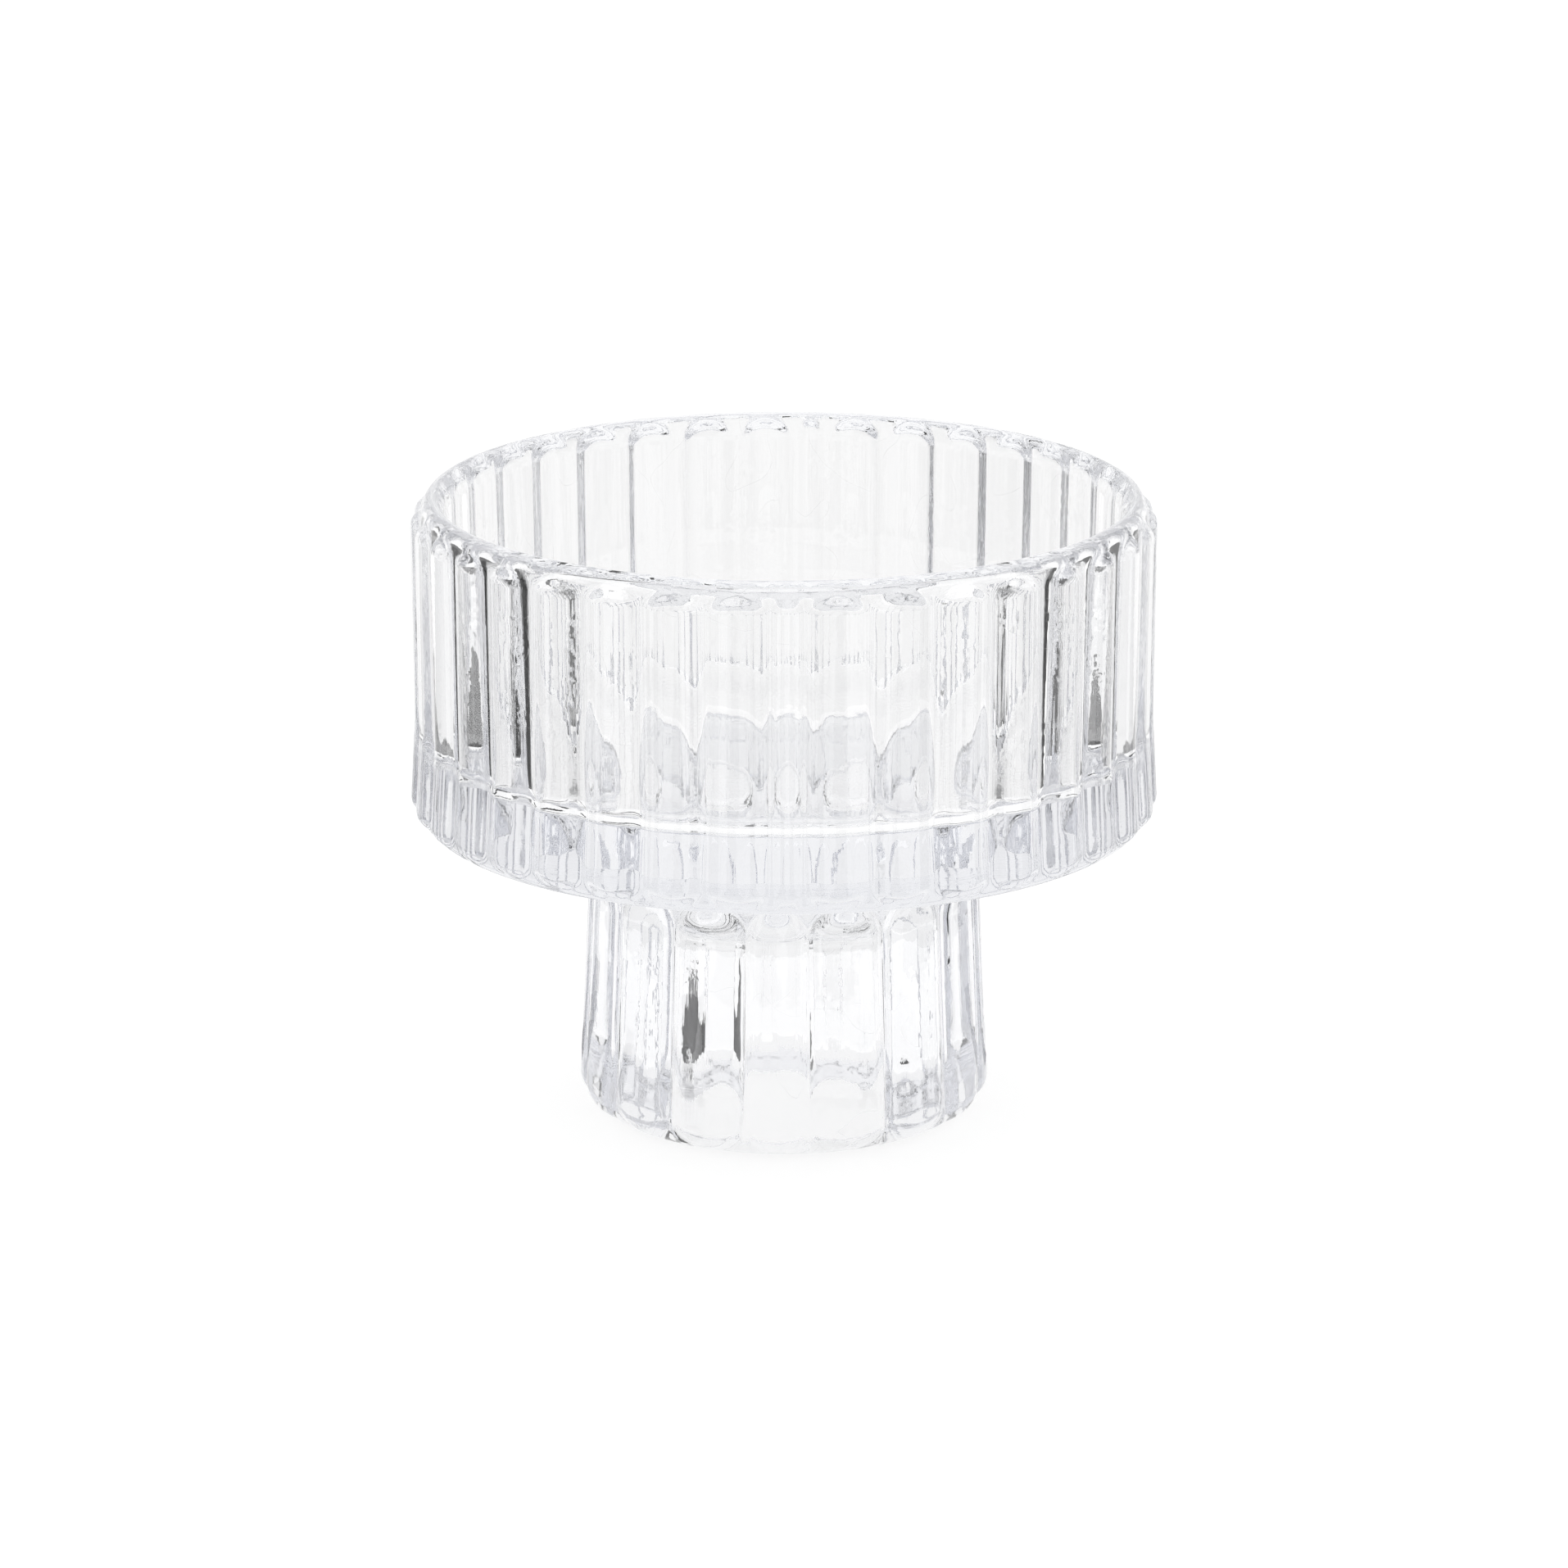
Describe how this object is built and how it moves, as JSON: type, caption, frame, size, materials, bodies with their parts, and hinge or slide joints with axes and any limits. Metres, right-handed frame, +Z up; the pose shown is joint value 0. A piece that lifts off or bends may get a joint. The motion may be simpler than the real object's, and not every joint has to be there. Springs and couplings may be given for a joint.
{
  "type": "tealight holder",
  "caption": "Clear pressed-glass tealight holder: a wide ribbed cup on a narrower ribbed foot, hollow from below so that it takes a dinner candle when turned over.",
  "frame": {"origin": "middle of the flat ring under the foot, on the surface that the holder stands on", "axes": "+Z up along the axis of the cup and the foot; -Y towards the front parting line, where a narrow rib is; +X to the right of it"},
  "size_m": [0.0845, 0.0842, 0.0717],
  "materials": {
    "glass": "clear soda-lime glass, pressed and fire-polished, with a faint cool tint"
  },
  "bodies": {
    "root": {"glass_body": "glass"}
  },
  "joints": []
}
